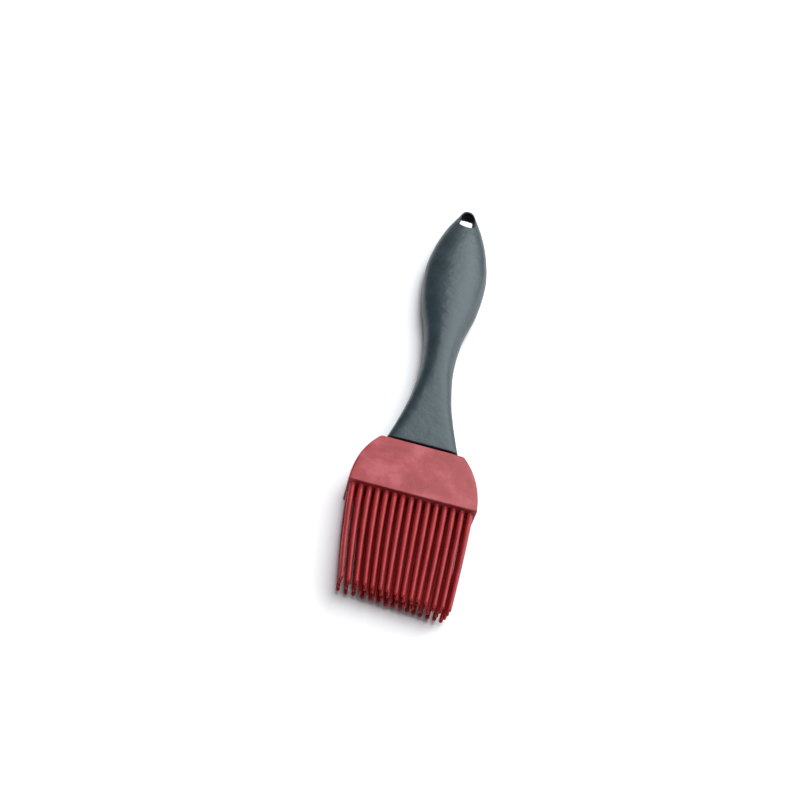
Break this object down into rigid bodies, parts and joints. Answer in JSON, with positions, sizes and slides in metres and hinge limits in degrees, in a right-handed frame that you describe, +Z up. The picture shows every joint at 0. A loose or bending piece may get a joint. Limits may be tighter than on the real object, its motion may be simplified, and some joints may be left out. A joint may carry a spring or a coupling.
{
  "type": "pastry brush",
  "caption": "Flat silicone pastry brush: a waisted grey handle with a hanging eye, a push-on red head with rounded shoulders and a block of round flexible bristles.",
  "frame": {"origin": "on the surface that the brush lies on, under the middle of its bounding box", "axes": "+Z up from that surface; +Y along the brush from the bristle tips to the handle's tip; +X across it"},
  "size_m": [0.046, 0.2296, 0.0126],
  "materials": {
    "grip": "matte, finely mottled moulded grip",
    "core": "satin glass-filled nylon",
    "head": "matte silicone with a dusty bloom",
    "bristle": "satin silicone"
  },
  "bodies": {
    "handle": {"handle_grip": "grip", "handle_core": "core"},
    "head": {"brush_head": "head"},
    "bristle_column_01": {"bristle_column_01": "bristle"},
    "bristle_column_02": {"bristle_column_02": "bristle"},
    "bristle_column_03": {"bristle_column_03": "bristle"},
    "bristle_column_04": {"bristle_column_04": "bristle"},
    "bristle_column_05": {"bristle_column_05": "bristle"},
    "bristle_column_06": {"bristle_column_06": "bristle"},
    "bristle_column_07": {"bristle_column_07": "bristle"},
    "bristle_column_08": {"bristle_column_08": "bristle"},
    "bristle_column_09": {"bristle_column_09": "bristle"},
    "bristle_column_10": {"bristle_column_10": "bristle"},
    "bristle_column_11": {"bristle_column_11": "bristle"},
    "bristle_column_12": {"bristle_column_12": "bristle"},
    "bristle_column_13": {"bristle_column_13": "bristle"},
    "bristle_column_14": {"bristle_column_14": "bristle"},
    "bristle_column_15": {"bristle_column_15": "bristle"}
  },
  "joints": [
    {"name": "head_pull_off", "type": "slide", "parent": "handle", "child": "head", "axis": [0, -1, 0], "range_m": [0, 0.022]},
    {"name": "bristle_column_01_flex", "type": "hinge", "parent": "head", "child": "bristle_column_01", "pos_m": [-0.021, -0.0738, 0.0063], "axis": [-1, 0, 0], "range_deg": [-25, 25], "stiffness_Nm_per_rad": 0.001},
    {"name": "bristle_column_02_flex", "type": "hinge", "parent": "head", "child": "bristle_column_02", "pos_m": [-0.018, -0.0738, 0.0063], "axis": [-1, 0, 0], "range_deg": [-25, 25], "stiffness_Nm_per_rad": 0.001},
    {"name": "bristle_column_03_flex", "type": "hinge", "parent": "head", "child": "bristle_column_03", "pos_m": [-0.015, -0.0738, 0.0063], "axis": [-1, 0, 0], "range_deg": [-25, 25], "stiffness_Nm_per_rad": 0.001},
    {"name": "bristle_column_04_flex", "type": "hinge", "parent": "head", "child": "bristle_column_04", "pos_m": [-0.012, -0.0738, 0.0063], "axis": [-1, 0, 0], "range_deg": [-25, 25], "stiffness_Nm_per_rad": 0.001},
    {"name": "bristle_column_05_flex", "type": "hinge", "parent": "head", "child": "bristle_column_05", "pos_m": [-0.009, -0.0738, 0.0063], "axis": [-1, 0, 0], "range_deg": [-25, 25], "stiffness_Nm_per_rad": 0.001},
    {"name": "bristle_column_06_flex", "type": "hinge", "parent": "head", "child": "bristle_column_06", "pos_m": [-0.006, -0.0738, 0.0063], "axis": [-1, 0, 0], "range_deg": [-25, 25], "stiffness_Nm_per_rad": 0.001},
    {"name": "bristle_column_07_flex", "type": "hinge", "parent": "head", "child": "bristle_column_07", "pos_m": [-0.003, -0.0738, 0.0063], "axis": [-1, 0, 0], "range_deg": [-25, 25], "stiffness_Nm_per_rad": 0.001},
    {"name": "bristle_column_08_flex", "type": "hinge", "parent": "head", "child": "bristle_column_08", "pos_m": [0, -0.0738, 0.0063], "axis": [-1, 0, 0], "range_deg": [-25, 25], "stiffness_Nm_per_rad": 0.001},
    {"name": "bristle_column_09_flex", "type": "hinge", "parent": "head", "child": "bristle_column_09", "pos_m": [0.003, -0.0738, 0.0063], "axis": [-1, 0, 0], "range_deg": [-25, 25], "stiffness_Nm_per_rad": 0.001},
    {"name": "bristle_column_10_flex", "type": "hinge", "parent": "head", "child": "bristle_column_10", "pos_m": [0.006, -0.0738, 0.0063], "axis": [-1, 0, 0], "range_deg": [-25, 25], "stiffness_Nm_per_rad": 0.001},
    {"name": "bristle_column_11_flex", "type": "hinge", "parent": "head", "child": "bristle_column_11", "pos_m": [0.009, -0.0738, 0.0063], "axis": [-1, 0, 0], "range_deg": [-25, 25], "stiffness_Nm_per_rad": 0.001},
    {"name": "bristle_column_12_flex", "type": "hinge", "parent": "head", "child": "bristle_column_12", "pos_m": [0.012, -0.0738, 0.0063], "axis": [-1, 0, 0], "range_deg": [-25, 25], "stiffness_Nm_per_rad": 0.001},
    {"name": "bristle_column_13_flex", "type": "hinge", "parent": "head", "child": "bristle_column_13", "pos_m": [0.015, -0.0738, 0.0063], "axis": [-1, 0, 0], "range_deg": [-25, 25], "stiffness_Nm_per_rad": 0.001},
    {"name": "bristle_column_14_flex", "type": "hinge", "parent": "head", "child": "bristle_column_14", "pos_m": [0.018, -0.0738, 0.0063], "axis": [-1, 0, 0], "range_deg": [-25, 25], "stiffness_Nm_per_rad": 0.001},
    {"name": "bristle_column_15_flex", "type": "hinge", "parent": "head", "child": "bristle_column_15", "pos_m": [0.021, -0.0738, 0.0063], "axis": [-1, 0, 0], "range_deg": [-25, 25], "stiffness_Nm_per_rad": 0.001}
  ]
}
